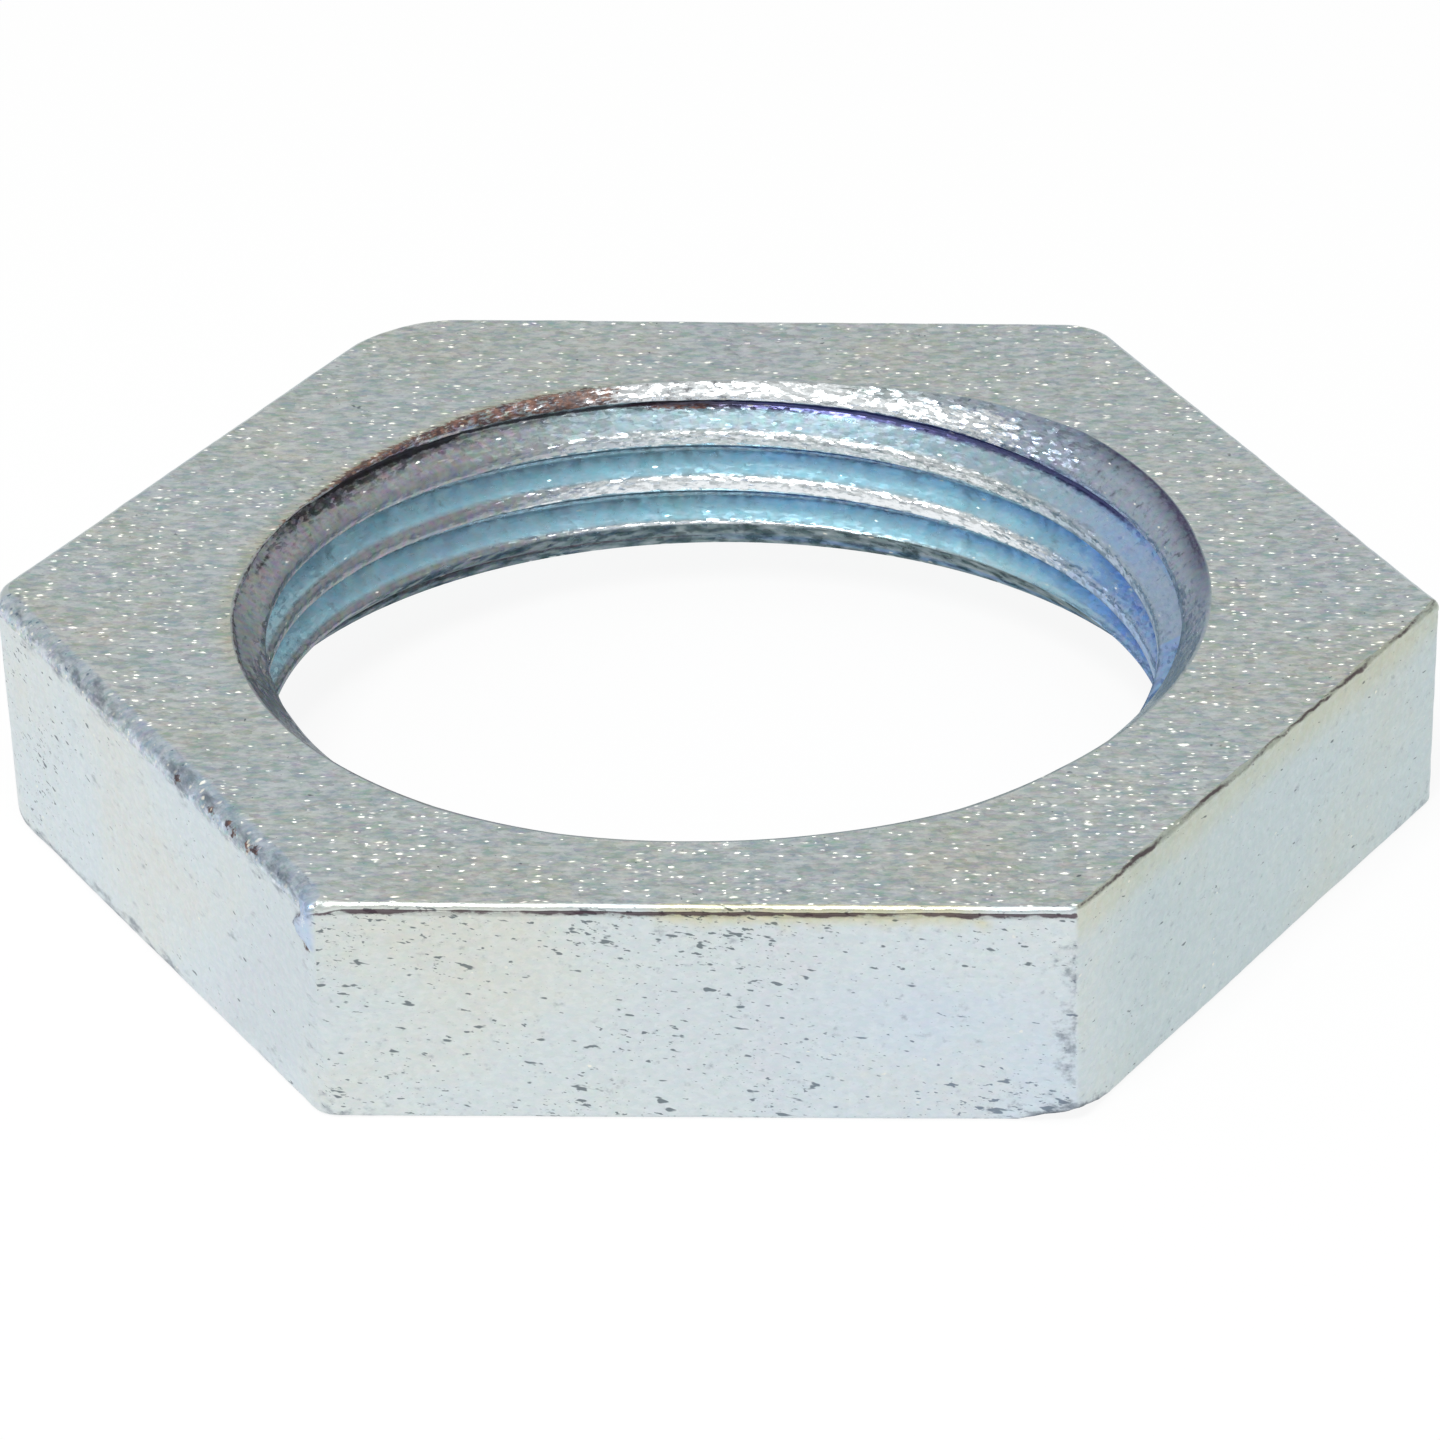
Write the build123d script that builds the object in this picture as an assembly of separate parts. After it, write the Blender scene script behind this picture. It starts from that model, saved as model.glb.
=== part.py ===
from build123d import *
from build123d.topology import SkipClean
import math
import os

# Conduit locknut: one forged and tapped steel hexagon, threaded right through.
# Millimetres. The thread's axis is Z, the origin is on it in the plane of the seat (the underside
# that bears on the box), two corners lie on the X axis and two flats face along Y.

# Thread: pipe thread of 11 turns to the inch with 55 degree flanks, cut by a tap that leaves flat
# crests. The start is the height of the groove's bottom at +X
major_diameter = 41.91
threads_per_inch = 11
flank_angle = 27.5
crest_flat = 0.768
groove_start = -0.55

# Hexagon: the wall between the bottom of the thread and a flat makes it 55 mm across flats
wall = 6.545
thickness = 10.2
corner_count = 6

# Corners seen from above, by their angle from +X. Forging left them blunt, one of them very much so
corner_radii = {0: 1.4, 60: 2.6, 120: 6.0, 180: 1.4, 240: 0.9, 300: 0.9}
top_edge_radius = 0.5
seat_edge_radius = 0.3

# The seat's corner that has been knocked back: its angle, how far in along X and Y, and how far up
knocked_corner = 300
knock_depth = 1.2
knock_height = 0.65

# Mouths of the bore: a 45 degree countersink at each end, this much wider than the bottom of the
# thread, and the lower one inside a dished seat with a flat rim that bears on the box
mouth_margin = 0.63
seat_width = 2.5
dish_depth = 1.75

# How far cutting tools run past the metal
overrun = 1.0

inch = 25.4
pitch = inch / threads_per_inch
flank_slope = math.tan(math.radians(flank_angle))
major_radius = major_diameter / 2
minor_radius = major_radius - (pitch - crest_flat) / 2 / flank_slope
mouth_radius = major_radius + mouth_margin
mouth_depth = mouth_radius - minor_radius
across_flats = major_diameter + 2 * wall
dish_radius = across_flats / 2 - seat_width


def corner_point(angle, height):
    """The sharp corner of the hexagon at this angle."""
    reach = across_flats / 2 / math.cos(math.pi / corner_count)
    turn = math.radians(angle)
    return (reach * math.cos(turn), reach * math.sin(turn), height)


def blank():
    """The hexagon with its blunt corners and softened rims, before the hole."""
    with BuildPart() as body:
        with BuildSketch():
            RegularPolygon(across_flats / 2, corner_count, major_radius=False)
        extrude(amount=thickness)
        for angle, radius in corner_radii.items():
            upright = body.edges().filter_by(Axis.Z).sort_by_distance(corner_point(angle, thickness / 2))[0]
            fillet(upright, radius)
        fillet(body.faces().sort_by(Axis.Z)[-1].edges(), top_edge_radius)
        fillet(body.faces().sort_by(Axis.Z)[0].edges(), seat_edge_radius)
    return body.part


def bore_section():
    """Half the section of the hole, in the XZ plane: dished seat, countersink, bore, countersink."""
    dish_slope = dish_depth / (dish_radius - mouth_radius)
    top_mouth = thickness - mouth_depth
    seat_mouth = dish_depth + mouth_depth
    with BuildSketch(Plane.XZ) as section:
        with BuildLine():
            Polyline(
                (0, -overrun),
                (dish_radius + overrun / dish_slope, -overrun),
                (mouth_radius, dish_depth),
                (minor_radius, seat_mouth),
                (minor_radius, top_mouth),
                (mouth_radius + overrun, thickness + overrun),
                (0, thickness + overrun),
                close=True,
            )
        make_face()
    return section.sketch


def groove_turn():
    """One turn of the vee that the tap cuts, climbing from z = 0 at +X."""
    # the vee reaches in past the crests, and still leaves half a crest between two turns
    half_width = (pitch - crest_flat / 2) / 2
    reach = half_width / flank_slope
    with BuildPart() as turn:
        with BuildLine():
            path = Helix(pitch, pitch, major_radius)
        with BuildSketch(Plane.XZ):
            with BuildLine():
                Polyline(
                    (major_radius, 0),
                    (major_radius - reach, half_width),
                    (major_radius - reach, -half_width),
                    close=True,
                )
            make_face()
        sweep(path=path, is_frenet=True)
    return turn.part


def knock():
    """The sliver of metal missing from one corner of the seat, cut off along a sloping plane."""
    x, y, _ = corner_point(knocked_corner, 0)
    reach = math.hypot(x, y)
    slope = knock_height / knock_depth
    with BuildPart() as cutter:
        with BuildSketch(Plane((0, 0, 0), x_dir=(x, y, 0), z_dir=(y, -x, 0))):
            with BuildLine():
                Polyline(
                    (reach - knock_depth - overrun, -overrun * slope),
                    (reach + overrun, knock_height + overrun * slope),
                    (reach + overrun, -overrun * slope),
                    close=True,
                )
            make_face()
        extrude(amount=across_flats / 4, both=True)
    return cutter.part


nut = blank()
bore_sixth = revolve(bore_section(), Axis.Z, 360 / corner_count)
groove = groove_turn()
groove_count = math.ceil((thickness + pitch - groove_start) / pitch)

# The bore is cut a sixth of a turn at a time, one cut for each flat, and the joints between the cuts
# stay in its wall, so that each face of a crest lies within a short stretch of the helix
with SkipClean():
    for index in range(corner_count):
        nut -= Rot(0, 0, index * 360 / corner_count) * bore_sixth
    # the tap passes right through, so its turns run from below the seat to above the top
    for index in range(groove_count):
        nut -= Pos(0, 0, groove_start + index * pitch) * groove
    nut -= knock()

os.makedirs("parts", exist_ok=True)
nut.label = "locknut"
export_step(nut, "parts/locknut.step")
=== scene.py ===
# %% [markdown]
# # A zinc-plated conduit locknut
# The real nut is one ring of forged steel with six flats, tapped with a pipe thread and then plated
# with zinc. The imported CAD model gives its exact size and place. This script builds a worn, forged
# version of it on top of that model, plates it, and lights it as in a small photo studio.

# %% Load the frame
import math

import bmesh
import bpy
import numpy as np
from mathutils import Matrix, Vector, noise


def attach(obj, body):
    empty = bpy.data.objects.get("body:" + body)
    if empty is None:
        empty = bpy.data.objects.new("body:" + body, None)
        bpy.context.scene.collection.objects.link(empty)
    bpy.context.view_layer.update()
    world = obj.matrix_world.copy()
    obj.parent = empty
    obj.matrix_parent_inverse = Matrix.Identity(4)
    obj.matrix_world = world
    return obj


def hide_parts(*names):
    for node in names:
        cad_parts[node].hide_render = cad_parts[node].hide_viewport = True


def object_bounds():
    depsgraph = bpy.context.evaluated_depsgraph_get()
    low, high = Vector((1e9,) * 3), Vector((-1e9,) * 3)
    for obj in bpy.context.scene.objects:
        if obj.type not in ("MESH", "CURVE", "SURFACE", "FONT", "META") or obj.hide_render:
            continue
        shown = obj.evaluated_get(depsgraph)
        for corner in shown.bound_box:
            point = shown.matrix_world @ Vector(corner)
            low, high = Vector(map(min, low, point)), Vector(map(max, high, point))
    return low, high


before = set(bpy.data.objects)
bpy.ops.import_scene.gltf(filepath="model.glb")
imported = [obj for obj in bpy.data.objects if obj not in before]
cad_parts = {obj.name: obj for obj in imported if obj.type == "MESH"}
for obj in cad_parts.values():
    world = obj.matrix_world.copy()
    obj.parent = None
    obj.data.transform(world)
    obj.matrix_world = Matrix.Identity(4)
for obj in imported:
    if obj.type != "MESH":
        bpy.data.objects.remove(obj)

cad_box = [list(corner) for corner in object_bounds()]
MM = 0.001
TOP = cad_box[1][2] / MM
print("the nut is %.1f mm thick" % TOP)

# %% [markdown]
# ## Camera
# A long lens far away keeps the six sides nearly parallel, as in a catalogue picture. The camera is
# placed by two angles and a distance from a point on the nut's outer face, and then rolled a little.

# %% Camera
CAMERA_AIM = Vector((0.5859, -11.3508, TOP)) * MM
CAMERA_AZIMUTH = math.radians(2.2857)
CAMERA_ELEVATION = math.radians(28.4557)
CAMERA_ROLL = math.radians(-0.8505)
CAMERA_DISTANCE = 422.86 * MM
LENS = 248.0

camera = bpy.data.objects.new("camera", bpy.data.cameras.new("camera"))
bpy.context.scene.collection.objects.link(camera)
bpy.context.scene.camera = camera
camera.data.sensor_width = 36
camera.data.lens = LENS
camera.data.clip_start = 0.01
camera.data.clip_end = 20
flat_out = math.cos(CAMERA_ELEVATION)
away = Vector((
    math.sin(CAMERA_AZIMUTH) * flat_out,
    -math.cos(CAMERA_AZIMUTH) * flat_out,
    math.sin(CAMERA_ELEVATION),
))
turned = (-away).to_track_quat("-Z", "Y").to_matrix() @ Matrix.Rotation(CAMERA_ROLL, 3, "Z")
camera.matrix_world = Matrix.Translation(CAMERA_AIM + away * CAMERA_DISTANCE) @ turned.to_4x4()
bpy.context.scene.view_settings.view_transform = "Standard"
print("camera at", [round(value, 3) for value in camera.matrix_world.translation])

# %% [markdown]
# ## Floor, air and lamps
# Bright metal mostly shows what stands around it. A white table in front and below makes the flats
# pale, and a dimmer room above leaves the outer face greyer. The table is plain white to the camera
# and in the metal, and a little of its own shading stays, so that the nut keeps its shadow. A small
# lamp in front makes the crystals glint, and a soft one overhead fills the shadows.

# %% Floor, air and lamps
FLOOR_SHADE_KEPT = 0.10
ROOM_COLOUR = (0.54, 0.55, 0.54, 1)
ROOM_STRENGTH = 1.0


def node(tree, kind, inputs=None, **settings):
    """Adds a shader node, and sets its properties and its inputs."""
    made = tree.nodes.new(kind)
    for name, value in settings.items():
        setattr(made, name, value)
    for name, value in (inputs or {}).items():
        if isinstance(value, bpy.types.NodeSocket):
            tree.links.new(value, made.inputs[name])
        else:
            made.inputs[name].default_value = value
    return made


floor_shape = bmesh.new()
bmesh.ops.create_grid(floor_shape, x_segments=1, y_segments=1, size=2.5)
floor_mesh = bpy.data.meshes.new("table")
floor_shape.to_mesh(floor_mesh)
floor_shape.free()
floor = bpy.data.objects.new("table", floor_mesh)
bpy.context.scene.collection.objects.link(floor)

white = bpy.data.materials.new("white_table")
white.use_nodes = True
tree = white.node_tree
tree.nodes.clear()
paint = node(tree, "ShaderNodeBsdfDiffuse", {"Color": (0.85, 0.85, 0.85, 1)})
glow = node(tree, "ShaderNodeEmission", {"Color": (1, 1, 1, 1), "Strength": 1.0})
path = node(tree, "ShaderNodeLightPath")
seen = path.outputs["Is Camera Ray"]
for kind in ("Is Glossy Ray", "Is Transmission Ray"):
    seen = node(tree, "ShaderNodeMath", {0: seen, 1: path.outputs[kind]}, operation="MAXIMUM").outputs[0]
share = node(tree, "ShaderNodeMath", {0: seen, 1: 1 - FLOOR_SHADE_KEPT}, operation="MULTIPLY")
mix = node(tree, "ShaderNodeMixShader", {0: share.outputs[0], 1: paint.outputs[0], 2: glow.outputs[0]})
node(tree, "ShaderNodeOutputMaterial", {"Surface": mix.outputs[0]})
floor_mesh.materials.append(white)

world = bpy.data.worlds.new("room")
world.use_nodes = True
world.node_tree.nodes["Background"].inputs["Color"].default_value = ROOM_COLOUR
world.node_tree.nodes["Background"].inputs["Strength"].default_value = ROOM_STRENGTH
bpy.context.scene.world = world

LAMPS = (
    # name, where it stands (m from the nut), its width and height (m) and its power (W)
    ("key_lamp", (-0.10, -0.28, 0.53), 0.22, 0.22, 2.6),
    ("top_softbox", (0.0, 0.05, 0.90), 0.50, 0.50, 0.40),
)
for name, place, width, height, power in LAMPS:
    lamp_data = bpy.data.lights.new(name, "AREA")
    lamp_data.shape = "RECTANGLE"
    lamp_data.size = width
    lamp_data.size_y = height
    lamp_data.energy = power
    lamp = bpy.data.objects.new(name, lamp_data)
    lamp.location = place
    lamp.rotation_euler = (-Vector(place)).to_track_quat("-Z", "Y").to_euler()
    bpy.context.scene.collection.objects.link(lamp)
print("lamps:", [lamp[0] for lamp in LAMPS])

# %% [markdown]
# ## The thread's sizes
# A tap cuts a vee that climbs one pitch in each turn, and leaves flat crests between its turns. The
# wall of the bore gets rows of points that climb with the thread, close together at the corners of
# the crests, so that the crests come out crisp with few faces.

# %% The thread's sizes
PITCH = 25.4 / 11
CREST_RADIUS = 19.475
ROOT_RADIUS = 20.955
FLANK_SLOPE = math.tan(math.radians(27.5))
CREST_WIDTH = 0.768
CREST_FOOT = TOP - 2.48 - PITCH / 4
BORE_CENTRE = np.array((-0.17, -0.21))
LOWER_MOUTH = 21.58
DISH_RADIUS = 25.0
DISH_HEIGHT = 1.75

CREST_SHARE = CREST_WIDTH / PITCH
ROW_STEPS = np.array([
    *CREST_SHARE * np.array((0, 0.08, 0.3, 0.5, 0.7, 0.92)),
    *CREST_SHARE + (1 - CREST_SHARE) * np.array((0, 0.05, 0.17, 0.30, 0.42, 0.5, 0.58, 0.70, 0.83, 0.95)),
])
lowest_row = DISH_HEIGHT - PITCH
all_rows = [CREST_FOOT + PITCH * (turn + step) for turn in range(-5, 3) for step in ROW_STEPS]
row_heights = [lowest_row] + [height for height in all_rows if lowest_row < height < TOP] + [TOP]
print("thread:", len(row_heights), "rows of points over", round((TOP - DISH_HEIGHT) / PITCH, 2), "turns")

# %% [markdown]
# ## The plain ring
# A forging starts as a plain ring. Its section is a loop of eight lines, one for each surface that
# the finished nut has. Each line is cut into as many rows as its surface needs, and every point
# remembers its line and how far along it stands. One spin then turns the section into a ring.

# %% The plain ring
SECTION = (
    # surface, radius and height (mm) where its line starts, rows across it
    ("face", 21.6, 10.2, 30),
    ("roll", 27.0, 10.2, 7),
    ("lip", 27.5, 9.7, 6),
    ("side", 27.5, 9.2, 30),
    ("foot", 27.5, 0.3, 4),
    ("seat", 27.2, 0.0, 4),
    ("dish", 25.0, 0.0, 5),
    ("thread", 21.6, 1.75, len(row_heights) - 1),
)
NAMES = [line[0] for line in SECTION]
COLUMNS = 640

ring = bmesh.new()
surface_of = ring.verts.layers.int.new("surface")
along_of = ring.verts.layers.float.new("along")
for index, (_, radius, height, rows) in enumerate(SECTION):
    _, next_radius, next_height, _ = SECTION[(index + 1) % len(SECTION)]
    start = Vector((radius, 0, height)) * MM
    reach = Vector((next_radius, 0, next_height)) * MM - start
    older = len(ring.verts)
    line = ring.edges.new((ring.verts.new(start), ring.verts.new(start + reach)))
    bmesh.ops.subdivide_edges(ring, edges=[line], cuts=rows - 1)
    for point in ring.verts[older:]:
        point[surface_of] = index
        point[along_of] = (point.co - start).length / reach.length
bmesh.ops.remove_doubles(ring, verts=ring.verts[:], dist=0.001 * MM)
section_size = len(ring.verts)
spun = bmesh.ops.spin(
    ring,
    geom=ring.verts[:] + ring.edges[:],
    axis=(0, 0, 1),
    angle=math.tau,
    steps=COLUMNS,
    use_merge=False,
)
print("ring:", section_size, "points round the section,", len(ring.verts), "in all")

# %% [markdown]
# ## The forged hexagon
# A forging is never a perfect hexagon. Each corner stands a little off its ideal place, the corners
# are blunt, and one is much rounder than the rest. Where the outline runs is worked out for any
# angle and height: a ray from the middle meets a flat, or near a corner the round that joins two.

# %% The forged hexagon
FLAT_RADIUS = 27.5
# angle: (how far the corner is off in x and y, and its radius) at the top, and the same at the seat
CORNERS = {
    0: ((-0.11, -0.09, 0.7), (-0.34, 0.21, 0.7)),
    60: ((0.79, -0.27, 2.6), (0.60, -0.20, 2.6)),
    120: ((-0.09, 0.11, 6.1), (-0.09, 0.11, 6.1)),
    180: ((0.01, 0.36, 1.6), (-0.18, -0.15, 6.3)),
    240: ((0.20, 0.20, 0.9), (0.18, -0.03, 1.3)),
    300: ((0.05, 0.05, 0.8), (0.13, -0.02, 0.9)),
}


def unit(vectors):
    """The same directions, one unit long."""
    return vectors / np.linalg.norm(vectors, axis=-1, keepdims=True)


def dot(first, second):
    """How far two sets of directions agree."""
    return (first * second).sum(-1)


def outline(theta, height):
    """Where the outline is at these angles and heights, and which way it faces there."""
    ray = np.stack((np.cos(theta), np.sin(theta)), -1)
    share = np.clip(height / TOP, 0, 1)[:, None]
    corner_reach = FLAT_RADIUS / math.cos(math.pi / 6)
    spots, radii, facings, offsets = [], [], [], []
    for angle, (top, seat) in CORNERS.items():
        ideal = corner_reach * np.array((math.cos(math.radians(angle)), math.sin(math.radians(angle))))
        mixed = np.array(top) * share + np.array(seat) * (1 - share)
        spots.append(ideal + mixed[:, :2])
        radii.append(mixed[:, 2])
    for here, there in zip(spots, spots[1:] + spots[:1]):
        along = unit(there - here)
        facings.append(np.stack((along[:, 1], -along[:, 0]), -1))
        offsets.append(dot(facings[-1], here))
    reach = np.full(len(theta), 1e9)
    facing = np.zeros((len(theta), 2))
    for flat, offset in zip(facings, offsets):
        lean = dot(flat, ray)
        hit = np.where(lean > 0.2, offset / np.maximum(lean, 0.2), 1e9)
        nearer = hit < reach
        reach[nearer] = hit[nearer]
        facing[nearer] = flat[nearer]
    for index, (spot, radius) in enumerate(zip(spots, radii)):
        before, after = facings[index - 1], facings[index]
        middle = unit(before + after)
        centre = spot - middle * (radius / dot(middle, after))[:, None]
        inside = dot(ray, centre)
        root = inside**2 - dot(centre, centre) + radius**2
        hit = inside + np.sqrt(np.maximum(root, 0))
        out = (ray * hit[:, None] - centre) / radius[:, None]
        past_before = before[:, 0] * out[:, 1] - before[:, 1] * out[:, 0] >= 0
        short_of_after = out[:, 0] * after[:, 1] - out[:, 1] * after[:, 0] >= 0
        in_round = (root > 0) & past_before & short_of_after & (dot(out, middle) > 0)
        reach[in_round] = hit[in_round]
        facing[in_round] = unit(out)[in_round]
    return ray * reach[:, None], facing


# %% [markdown]
# ## The wall of the bore
# The wall is as far out as the tap or the countersinks reach, whichever is further, so their
# crossings come out right by themselves. The upper countersink was cut out of true: it is wide on
# one side, and on the other the thread breaks out under the face and leaves a feather edge.

# %% The wall of the bore
EDGE_SOFTNESS = 0.05
ROOT_SOFTNESS = 0.10
SHOULDER_DEPTH = 0.25
TORN_DEPTH = 0.05
# angle: radius of the countersink's rim, and how much a soft shoulder adds to it
RIM = {
    0: (21.55, 0.1), 15: (21.55, 0.35), 30: (21.55, 0.85), 45: (21.5, 1.35), 60: (21.5, 0.9),
    75: (21.4, 0.1), 90: (21.2, 0), 105: (21.2, 0), 120: (21.1, 0), 135: (20.5, 0), 150: (20.2, 0),
    165: (20.45, 0), 180: (20.75, 0), 195: (21.0, 0), 210: (21.3, 0), 225: (21.57, 0), 240: (21.83, 0),
    255: (21.9, 0), 270: (21.75, 0), 285: (21.75, 0), 300: (21.87, 0), 315: (21.57, 0), 330: (21.48, 0),
    345: (21.55, 0),
}


def rim_radius(theta):
    """The radius of the countersink's rim at these angles, and of its shoulder."""
    degrees = np.degrees(theta) % 360
    columns = zip(*RIM.values())
    rims, shoulders = (np.interp(degrees, list(RIM), column, period=360) for column in columns)
    return rims, shoulders


def cuts(theta, height):
    """How far out the upper and the lower countersink and the tap reach at these angles and heights."""
    mouth, shoulder = rim_radius(theta)
    depth = TOP - height
    upper = mouth - depth + shoulder * np.exp(-depth / SHOULDER_DEPTH)
    lower = LOWER_MOUTH - (height - DISH_HEIGHT)
    root_height = CREST_FOOT - (PITCH - CREST_WIDTH) / 2 + PITCH * theta / math.tau
    off = (height - root_height + PITCH / 2) % PITCH - PITCH / 2
    groove = ROOT_RADIUS - (np.sqrt(off**2 + ROOT_SOFTNESS**2) - ROOT_SOFTNESS) / FLANK_SLOPE
    return upper, lower, groove


def wall_radius(theta, height):
    """How far the bore's wall is from its axis at these angles and heights."""
    upper, lower, groove = cuts(theta, height)
    depth = TOP - height
    bore = np.maximum(CREST_RADIUS, np.maximum(lower, upper))
    softness = EDGE_SOFTNESS * np.clip(depth * 4, 0, 1) * np.clip((height - DISH_HEIGHT) * 4, 0, 1)
    wall = (bore + groove + np.sqrt((bore - groove) ** 2 + softness**2)) / 2
    return np.where(depth < 0.001, sum(rim_radius(theta)), wall)


# %% [markdown]
# ## Rolled edges, burrs and bruises
# The upper rim is different on each side: tight with a raised burr in front, ragged on the right,
# soft and rolled over on the left. A little noise along the rim makes each of them uneven. Every
# table here goes by the way a side faces, in degrees from the X axis.

# %% Rolled edges, burrs and bruises
ROLL_RADII = {30: 0.5, 90: 0.45, 150: 0.5, 210: 0.85, 270: 0.25, 330: 0.25}
ROLL_WAVES = {30: 0.04, 90: 0.04, 150: 0.04, 210: 0.02, 270: 0.05, 330: 0.12}
BURRS = {30: 0.0, 90: 0.0, 150: 0.0, 210: 0.0, 270: 0.07, 330: 0.02}
LIP_HEIGHT = 0.45
FOOT_RADIUS = 0.3
CROWDING = 0.4
CORNER_BLEND = 4.0


def per_side(theta, values):
    """A value for each side of the hexagon, blended within a few degrees of the corners."""
    degrees = np.degrees(theta) % 360
    result = np.zeros_like(theta)
    for angle, value in values.items():
        off = np.abs((degrees - angle + 180) % 360 - 180)
        result += value * np.clip((30 - off) / CORNER_BLEND + 0.5, 0, 1)
    return result


def ruggedness(spots, size, seed):
    """Smooth noise between about -1 and 1 at these places, with bumps of this size (mm)."""
    shift = Vector((seed * 13.7, seed * 7.3, seed * 3.1))
    return np.array([noise.noise(Vector(spot) / size + shift) for spot in spots]) * 1.6


def rim_noise(theta, size, seed):
    """The same noise along the rim only."""
    spots = np.stack((30 * np.cos(theta), 30 * np.sin(theta), 0 * theta), -1)
    return ruggedness(spots, size, seed)


def ramp(value, low, high):
    """Eases from 0 at low to 1 at high."""
    share = np.clip((value - low) / (high - low), 0, 1)
    return share * share * (3 - 2 * share)


def window(value, low, high, soft):
    """1 between low and high, easing to 0 outside."""
    return ramp(value, low - soft, low + soft) * ramp(value, high + soft, high - soft)


def hill(value, centre, width):
    """A smooth hill, 1 at its centre."""
    return np.exp(-(((value - centre) / width) ** 2))


# %% [markdown]
# ## Forging the ring
# Each point of the plain ring now goes to its place on the nut. The points of each surface are
# handled together as arrays, which is far quicker than one by one. The columns crowd a little near
# the corners, where the outline turns.

# %% Forging the ring
ring.verts.index_update()
points = list(ring.verts)
surface = np.array([point[surface_of] for point in points])
along = np.array([point[along_of] for point in points])
turn = np.array([math.atan2(point.co.y, point.co.x) / math.tau % 1 for point in points])
turn[:section_size] = 0
for point in spun["geom_last"]:
    if isinstance(point, bmesh.types.BMVert):
        turn[point.index] = 1
theta = math.tau * turn - CROWDING * np.sin(6 * math.tau * turn) / 6
ragged = 0.6 * rim_noise(theta, 2.2, 1) + 0.4 * rim_noise(theta, 0.7, 2)
roll = per_side(theta, ROLL_RADII) + per_side(theta, ROLL_WAVES) * ragged
burr = per_side(theta, BURRS) * (1 + 0.8 * ragged)


def ring_points(angle, radius, height, centre=(0, 0)):
    """Points on a circle, or on many."""
    return np.stack((
        centre[0] + radius * np.cos(angle),
        centre[1] + radius * np.sin(angle),
        height + 0 * angle,
    ), -1)


def rim(angle, height, inset):
    """Points this far inside the outline at these heights."""
    spot, facing = outline(angle, height)
    spot = spot - facing * inset[:, None]
    return np.concatenate((spot, height[:, None]), 1)


place = np.zeros((len(points), 3))
for index, name in enumerate(NAMES):
    here = surface == index
    angle, share, curl, raised = theta[here], along[here], roll[here], burr[here]
    low = np.full(len(angle), FOOT_RADIUS)
    if name == "face":
        # closer rows near both rims
        share = 0.45 * share + 0.275 * (1 - np.cos(math.pi * share))
        inner = ring_points(angle, sum(rim_radius(angle)), TOP, BORE_CENTRE)
        outer = rim(angle, TOP - curl, curl - raised)
        outer[:, 2] = TOP
        spot = inner + (outer - inner) * share[:, None]
    elif name == "roll":
        bend = share * math.pi / 2
        spot = rim(angle, TOP - curl, curl * (1 - np.sin(bend)) - raised)
        spot[:, 2] = TOP - curl * (1 - np.cos(bend))
    elif name == "lip":
        # the burr stands proud at the edge, with a shallow groove under it
        inset = raised * (1.2 * hill(share, 0.35, 0.22) - 1 + ramp(share, 0, 0.3))
        spot = rim(angle, TOP - curl - LIP_HEIGHT * share, inset)
    elif name == "side":
        height = (TOP - curl - LIP_HEIGHT) * (1 - share) + FOOT_RADIUS * share
        spot = rim(angle, height, 0 * angle)
    elif name == "foot":
        bend = share * math.pi / 2
        spot = rim(angle, low, FOOT_RADIUS * (1 - np.cos(bend)))
        spot[:, 2] = FOOT_RADIUS * (1 - np.sin(bend))
    elif name == "seat":
        outer = rim(angle, low, low)
        outer[:, 2] = 0
        inner = ring_points(angle, DISH_RADIUS, 0)
        spot = outer + (inner - outer) * share[:, None]
    elif name == "dish":
        outer = ring_points(angle, DISH_RADIUS, 0)
        inner = ring_points(angle, LOWER_MOUTH, DISH_HEIGHT, BORE_CENTRE)
        spot = outer + (inner - outer) * share[:, None]
    else:
        rows = np.interp(share * (len(row_heights) - 1), range(len(row_heights)), row_heights)
        height = np.clip(rows + PITCH * turn[here], DISH_HEIGHT, TOP)
        height[height > TOP - 0.03] = TOP
        height[height < DISH_HEIGHT + 0.03] = DISH_HEIGHT
        spot = ring_points(angle, wall_radius(angle, height), height, BORE_CENTRE)
        torn = ramp(height, TOP - 1.2, TOP - 0.8) * ramp(height, TOP, TOP - 0.12)
        torn = TORN_DEPTH * torn * window(np.degrees(angle) % 360, 58, 150, 10) * ruggedness(spot, 0.5, 9)
        spot[:, :2] *= 1 + (torn / ROOT_RADIUS)[:, None]
    place[here] = spot
print("outline:", place.min(0).round(2), place.max(0).round(2))

# %% [markdown]
# ## Dents and scars
# A forged and tumbled nut has slightly wavy faces, a lip of metal smeared over one corner, and one
# corner of the seat knocked back. All of these move points that are already in place.

# %% Dents and scars
KNOCKED_CORNER = 300
KNOCK_DEPTH = 1.55
KNOCK_HEIGHT = 0.62
SMEAR_WIDTH = 2.1
SMEAR_FOOT = 7.75
SMEAR_THICKNESS = 0.26
CORNER_PLACE = 15.9
FAR_OUTSIDE = -9


def side_frame(spots):
    """The nearest side's facing angle, and the place along that side, counted from its middle."""
    angle = np.floor(np.degrees(np.arctan2(spots[:, 1], spots[:, 0])) % 360 / 60) * 60 + 30
    turned = np.radians(angle)
    return angle, spots[:, 1] * np.cos(turned) - spots[:, 0] * np.sin(turned)


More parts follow.
